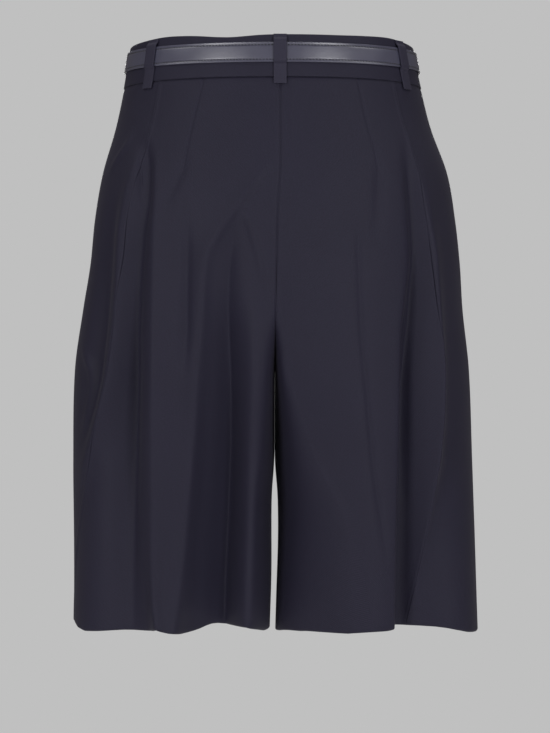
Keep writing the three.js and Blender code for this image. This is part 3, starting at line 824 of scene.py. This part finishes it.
# How far the middle of the belt lies outside the waistband's middle, at degrees along from its bar
def beltOff(along):
    b = belt
    layer = smoothStep(along, b["riseFrom"], b["riseTo"]) * (b["thickness"] + garment["layerGap"])
    worn = waistband["thickness"] / 2 + b["wornGap"] + b["thickness"] / 2
    return worn + frontLift(b["bar"] + along) + layer


# The belt: a rounded strip with a creased line inside each edge, running to a pointed tip
def makeBelt():
    b = belt
    along = np.linspace(b["start"], 360 + b["lap"], b["columns"])[:, None]
    half = (b["top"] - b["bottom"]) / 2
    profile = strapProfile(half, b["thickness"] / 2, b["edgeRadius"], across=41, corner=4)
    fromTip = (360 + b["lap"] - along) / degreesPerMillimetre(b["bar"] + b["lap"])
    width = np.sqrt(np.clip(1 - np.clip(1 - fromTip / b["tip"], 0, 1) ** b["tipPower"], 0.02, 1))
    outside = profile[:, 1] > b["thickness"] / 2 - 0.01
    fromEdge = half - np.abs(profile[:, 0])
    crease = b["groove"] * np.exp(-((fromEdge - b["grooveIn"]) / b["grooveWidth"]) ** 2) * outside
    crown = b["crown"] * (1 - (profile[:, 0] / half) ** 2) * outside
    off = beltOff(along) + profile[:, 1] - crease + crown - b["crown"] * outside
    points = waistPoints(b["bar"] + along, beltMiddle + profile[:, 0] * width, off, lifted=False)
    piece = closedStrip("belt_strap_leather", points, beltLeather)
    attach(piece, "root")
    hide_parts("belt_strap")


makeBelt()
print("belt made")


stitching = dict(
    beltPitch=3.2, beltLength=2.1, beltRadius=0.5, beltIn=2.6, sunk=0.02,
    beltFrom=3, beltUntil=8,      # degrees after the start and before the tip
    clothPitch=2.6, clothLength=1.9, clothRadius=0.2,
)


# Stitches as one mesh: small pointed capsules between start and end points, each of four rings of six
def makeStitches(name, start, end, radius, material):
    axis = end - start
    length = np.linalg.norm(axis, axis=1, keepdims=True)
    axis = axis / length
    helper = np.where(np.abs(axis[:, 2:3]) > 0.9, [[1.0, 0, 0]], [[0, 0, 1.0]])
    side = unit(np.cross(axis, helper))
    up = np.cross(axis, side)
    along = np.array([0, 0.14, 0.86, 1])
    size = np.array([0.15, 0.95, 0.95, 0.15]) * radius
    turn = np.arange(6) * np.pi / 3
    ring = np.cos(turn)[None, :, None] * side[:, None] + np.sin(turn)[None, :, None] * up[:, None]
    points = start[:, None, None] + axis[:, None, None] * (length[:, None, None] * along[None, :, None, None])
    points = points + ring[:, None] * size[None, :, None, None]
    index = np.arange(24).reshape(4, 6)
    index = np.hstack([index, index[:, :1]])
    sides = (cellCorners(index, True)[None] + 24 * np.arange(len(start))[:, None, None]).reshape(-1, 4)
    caps = np.array([[5, 4, 3, 2, 1, 0], [18, 19, 20, 21, 22, 23]])
    ends = (caps[None] + 24 * np.arange(len(start))[:, None, None]).reshape(-1, 6)
    mesh = bpy.data.meshes.new(name)
    mesh.from_pydata((points.reshape(-1, 3) * 0.001).tolist(), [], sides.tolist() + ends.tolist())
    piece = newPiece(name, mesh, material)
    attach(piece, "root")
    return piece


# Start and end points of stitches of a length at a pitch along a path
def stitchEnds(path, pitch, long):
    length = pathLengths(path)
    at = np.arange(0, length[-1] - pitch, pitch)
    return [np.stack([np.interp(place, length, path[:, k]) for k in range(3)], 1)
            for place in (at, at + long)]


# Two rows of stitches in the creases of the belt
def makeBeltStitches():
    s, b = stitching, belt
    fine = np.linspace(b["start"] + s["beltFrom"], 360 + b["lap"] - s["beltUntil"], 6000)
    off = beltOff(fine) + b["thickness"] / 2 - b["groove"] - s["sunk"]
    starts, ends = [], []
    for z in (b["top"] - s["beltIn"], b["bottom"] + s["beltIn"]):
        path = waistPoints(b["bar"] + fine, z, off, lifted=False)
        start, end = stitchEnds(path, s["beltPitch"], s["beltLength"])
        starts.append(start)
        ends.append(end)
    # the near black of this thread is the shade in the stitch holes, painted in
    piece = makeStitches("belt_stitches", np.vstack(starts), np.vstack(ends), s["beltRadius"], beltThreadPaintedShade)


# The topstitching that holds the fly: down beside its outer edge and round to the centre seam
def makeFlyStitches():
    f = fly
    deep = f["top"] - f["bottom"] - f["stitchTop"] - f["stitchIn"]
    z = f["top"] - f["stitchTop"] - deep * np.sin(np.linspace(0, np.pi / 2, 200))
    out = garment["clothThickness"] * 1.5 + garment["layerGap"]
    grid = flyPoints(z, np.linspace(f["stitchIn"] / f["width"], f["stitchEnd"], 40), out)
    path = np.vstack([grid[:, 0], grid[-1, 1:]])
    start, end = stitchEnds(path, stitching["clothPitch"], stitching["clothLength"])
    # this thread is painted a shade lighter than the cloth, a painted highlight on each stitch
    piece = makeStitches("fly_stitches", start, end, stitching["clothRadius"], flyThreadPaintedLight)


makeBeltStitches()
makeFlyStitches()
print("stitches made")


loops = dict(
    thickness=1.5, width=12.6, edgeRadius=0.6, top=21.6, bottom=-27, beltClear=0.8, slope=2.4, bend=1.2,
    angles={"belt_loop_back": -90, "belt_loop_back_left": -143.5, "belt_loop_back_right": -31.5,
            "belt_loop_front_left": 132, "belt_loop_front_right": 55},
)


# A belt loop: a folded strip down the waistband, out over the belt, back in and on to the panel below
def makeLoop(name, angle):
    b, s = belt, loops
    onBand = waistband["thickness"] / 2 + b["wornGap"] + s["thickness"] / 2
    onBelt = onBand + b["thickness"] + garment["layerGap"] + frontLift(np.float64(angle))
    routeZ = np.array([s["top"], b["top"] + s["beltClear"] + s["slope"], b["top"] + s["beltClear"],
                       b["bottom"] - s["beltClear"], b["bottom"] - s["beltClear"] - s["slope"],
                       garment["bandBottom"], s["bottom"]])
    routeOff = np.array([onBand, onBand, onBelt, onBelt, onBand, onBand, onBand])
    length = pathLengths(np.stack([routeZ, routeOff], axis=1))
    at = np.linspace(0, length[-1], 60)
    soft = np.array([-1, -0.5, 0, 0.5, 1]) * s["bend"]      # rounds the corners of the route
    z = np.mean([np.interp(at + shift, length, routeZ) for shift in soft], axis=0)
    off = np.mean([np.interp(at + shift, length, routeOff) for shift in soft], axis=0)
    profile = strapProfile(s["width"] / 2, s["thickness"] / 2, s["edgeRadius"], across=9, corner=3)
    spread = degreesPerMillimetre(angle, z)
    dz, dOff = np.gradient(z), np.gradient(off)
    steep = np.hypot(dz, dOff)
    height = z[:, None] + profile[:, 1] * (dOff / steep)[:, None]
    outwards = off[:, None] - profile[:, 1] * (dz / steep)[:, None]
    points = waistPoints(angle + profile[:, 0] * spread[:, None], height, outwards)
    piece = closedStrip(f"{name}_strip", points, loopPaintedLitCloth)
    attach(piece, "root")
    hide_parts(name)


for loopName, loopAngle in loops["angles"].items():
    makeLoop(loopName, loopAngle)
print("belt loops made")


keeper = dict(angle=103, width=9, wall=1.5, edgeRadius=0.6, corner=1.6, blend=0.25)


# The keeper: a leather band round both layers of the strap, bent as the strap is
def makeKeeper():
    k, b = keeper, belt
    reach = b["thickness"] / 2 + garment["layerGap"] + k["wall"] / 2
    low = beltOff(k["angle"] - b["bar"]) - reach
    high = low + 2 * reach + b["thickness"] + garment["layerGap"]
    bottom = b["bottom"] - garment["layerGap"] - k["wall"] / 2
    top = b["top"] + garment["layerGap"] + k["wall"] / 2
    turn = np.linspace(0, 2 * np.pi, 96, endpoint=False)
    across, up = np.cos(turn), np.sin(turn)
    halfOff, halfHigh = (high - low) / 2, (top - bottom) / 2
    # a rounded rectangle: a circle of the corner's size pushed out to the four straight sides
    pushOff = np.sign(across) * (halfOff - k["corner"]) * smoothStep(np.abs(across), 0, k["blend"])
    pushUp = np.sign(up) * (halfHigh - k["corner"]) * smoothStep(np.abs(up), 0, k["blend"])
    off = (low + high) / 2 + pushOff + k["corner"] * across
    z = (top + bottom) / 2 + pushUp + k["corner"] * up
    profile = strapProfile(k["width"] / 2, k["wall"] / 2, k["edgeRadius"], across=7, corner=3)
    spread = degreesPerMillimetre(k["angle"])
    height = z[:, None] + profile[None, :, 1] * up[:, None]
    outwards = off[:, None] + profile[None, :, 1] * across[:, None]
    points = waistPoints(k["angle"] + profile[None, :, 0] * spread, height, outwards, lifted=False)
    piece = gridObject("belt_keeper_band", points, beltLeather, closeRows=True, closeColumns=True, flip=True)
    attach(piece, "root")
    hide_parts("belt_keeper")


buckle = dict(bar=94, nose=83.6, halfHeight=13.2, wire=1.2, squareness=5, flat=0.8)
prong = dict(start=93.6, tip=82.9, radius=1.05, dip=3.2, tipDip=0.5, taper=0.3, point=0.06)


# A closed ring of round wire along a closed route of points, flattened where it faces outwards
def wireRing(name, route, radius, sides, flat):
    along = unit(np.roll(route, -1, axis=0) - np.roll(route, 1, axis=0))
    aside = unit(np.cross(along, [[0.0, 1.0, 0.0]]))
    out = np.cross(aside, along)
    turn = np.linspace(0, 2 * np.pi, sides, endpoint=False)
    up = np.minimum(np.cos(turn), flat) * radius
    sideways = np.sin(turn) * radius
    points = route[:, None] + out[:, None] * up[None, :, None] + aside[:, None] * sideways[None, :, None]
    return gridObject(name, points, buckleMetal, closeRows=True, closeColumns=True, flip=True)


# The frame: a squared ring round the end of the strap, its bar behind the strap and its nose in front
def makeBuckle():
    b, k = belt, buckle
    centre, halfWidth = (k["bar"] + k["nose"]) / 2, (k["bar"] - k["nose"]) / 2
    low = beltOff(centre - b["bar"] + 360) - b["thickness"] - garment["layerGap"]
    high = low + b["thickness"] / 2 + garment["layerGap"] + k["wire"]
    turn = np.linspace(0, 2 * np.pi, 160, endpoint=False)
    across, up = np.cos(turn), np.sin(turn)
    reach = (np.abs(across) ** k["squareness"] + np.abs(up) ** k["squareness"]) ** (-1 / k["squareness"])
    z = beltMiddle + k["halfHeight"] * up * reach
    off = low + (high - low) * (1 - across * reach) / 2
    route = waistPoints(centre + halfWidth * across * reach, z, off, lifted=False)
    piece = wireRing("buckle_frame_cast", route, k["wire"], 20, k["flat"])
    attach(piece, "root")
    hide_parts("buckle_frame")


# The prong comes up out of its hole in the strap and runs over the nose of the frame, thinner to its tip
def makeProng():
    b, k = belt, prong
    along = np.linspace(0, 1, 60)
    top = beltOff(k["start"] - b["bar"] + 360) + b["thickness"] / 2 + garment["layerGap"] + k["radius"]
    off = top - k["dip"] * (1 - smoothStep(along, -0.05, 0.22)) - k["tipDip"] * smoothStep(along, 0.6, 1)
    angle = k["start"] + (k["tip"] - k["start"]) * along
    route = waistPoints(angle, beltMiddle, off, lifted=False)
    up = np.array([[0.0, 0.0, 1.0]])
    out = unit(np.cross(unit(np.gradient(route, axis=0)), up))
    size = k["radius"] * (1 - k["taper"] * along) * np.sqrt(np.clip((1 - along) / k["point"], 0.02, 1))
    turn = np.linspace(0, 2 * np.pi, 16, endpoint=False)
    ring = np.cos(turn)[None, :, None] * out[:, None] + np.sin(turn)[None, :, None] * up[None]
    points = route[:, None] + size[:, None, None] * ring
    piece = closedStrip("buckle_prong_cast", points, buckleMetal)
    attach(piece, "root")
    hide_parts("buckle_prong")


makeKeeper()
makeBuckle()
makeProng()
print("buckle and keeper made")


# The punched holes of the strap: flat discs with a pressed rim, painted near black for the shade down
# each hole, one under the prong
holes = dict(angles=[93.9, 77, 60.5, 111.5], size=1.7, rim=0.35, proud=0.06)


def makeHoles():
    b, h = belt, holes
    turn = np.linspace(0, 2 * np.pi, 28, endpoint=False)
    radius = np.array([0.05, 0.8, 1.0, 1.0 + h["rim"] / h["size"]]) * h["size"]
    deep = np.array([-0.05, -0.05, 0.1, -0.1])
    for number, angle in enumerate(h["angles"]):
        along = (angle - b["bar"]) % 360
        along += 360 if along < b["lap"] else 0      # the outer of two layers
        spread = degreesPerMillimetre(angle)
        z = beltMiddle + radius[:, None] * np.sin(turn)
        off = beltOff(along) + b["thickness"] / 2 + h["proud"] + deep[:, None]
        points = waistPoints(angle + radius[:, None] * np.cos(turn) * spread, z, off, lifted=False)
        # the whole disc, rim too, carries the painted shade of the hole
        piece = gridObject(f"belt_hole_shade_{number + 1}", points, holePaintedShade, closeColumns=True)
        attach(piece, "root")


makeHoles()
print("belt holes made")

# square to the garment's back, a little below its middle: metres, and millimetres for the lens
view = dict(distance=2.6, height=-0.2965, sensor=24, lens=85.1)
camera = bpy.data.objects.new("camera", bpy.data.cameras.new("camera"))
bpy.context.scene.collection.objects.link(camera)
camera.location = (0, -view["distance"], view["height"])
camera.rotation_euler = (np.pi / 2, 0, 0)
camera.data.sensor_fit = "VERTICAL"
camera.data.sensor_height = view["sensor"]
camera.data.lens = view["lens"]
bpy.context.scene.camera = camera

studio = dict(
    background="#c0c0c0", fill="#c6bfb2", backLight=0.18, floor="#d9d8d6", floorRoughness=0.9,
    floorHeight=-1000, middle=-0.25,      # the height that the lights look at, in metres
)
# azimuth 0 is in front of the garment's back, positive towards +X; sizes in metres, power in watts
lights = {
    "left softbox": dict(azimuth=-29, elevation=7, distance=3.0, size=0.85, power=25.5),
    "right softbox": dict(azimuth=28, elevation=7, distance=3.0, size=0.85, power=26.5),
    "left side": dict(azimuth=-62, elevation=42, distance=3.0, size=1.2, power=13),
    "right side": dict(azimuth=62, elevation=42, distance=3.0, size=1.2, power=14),
    "top": dict(azimuth=180, elevation=75, distance=3.0, size=1.4, power=40),
    "front side": dict(azimuth=180, elevation=15, distance=3.0, size=1.4, power=50),
}


# The backdrop is even grey to the camera; the light it sends back to the garment is weaker
def makeWorld():
    world = bpy.data.worlds.new("studio")
    bpy.context.scene.world = world
    world.use_nodes = True
    tree = world.node_tree
    seen = tree.nodes["Background"]
    seen.inputs["Color"].default_value = linear(studio["background"])
    given = addNode(tree, "ShaderNodeBackground", inputs={
        "Color": linear(studio["fill"]), "Strength": studio["backLight"]})
    path = addNode(tree, "ShaderNodeLightPath")
    either = addNode(tree, "ShaderNodeMixShader", inputs={
        0: (path, "Is Camera Ray"), 1: (given, 0), 2: (seen, 0)})
    tree.links.new(either.outputs[0], tree.nodes["World Output"].inputs["Surface"])
    bpy.context.scene.view_settings.view_transform = "Standard"


# A soft square light that looks at the middle of the garment
def addLight(name, azimuth, elevation, distance, size, power):
    data = bpy.data.lights.new(name, "AREA")
    data.size = size
    data.energy = power
    light = bpy.data.objects.new(name, data)
    bpy.context.scene.collection.objects.link(light)
    a, e = np.radians(azimuth), np.radians(elevation)
    near = distance * np.cos(e)
    light.location = (near * np.sin(a), -near * np.cos(a), studio["middle"] + distance * np.sin(e))
    light.rotation_euler = (np.pi / 2 - e, 0, a)


# A round floor well below the hem, of rings round the middle
def makeFloor():
    turn = np.linspace(0, 2 * np.pi, 97)[:-1]
    rings = np.array([1, 700, 1400, 2000])[:, None]
    height = np.full((len(rings), len(turn)), studio["floorHeight"])
    points = np.stack([rings * np.cos(turn), rings * np.sin(turn), height], axis=-1)
    material, _, _ = newMaterial("painted studio floor", {
        "Base Color": linear(studio["floor"]), "Roughness": studio["floorRoughness"]})
    floor = gridObject("floor", points, material, closeColumns=True)


makeWorld()
for lightName, light in lights.items():
    addLight(lightName, **light)
makeFloor()
print("studio made")
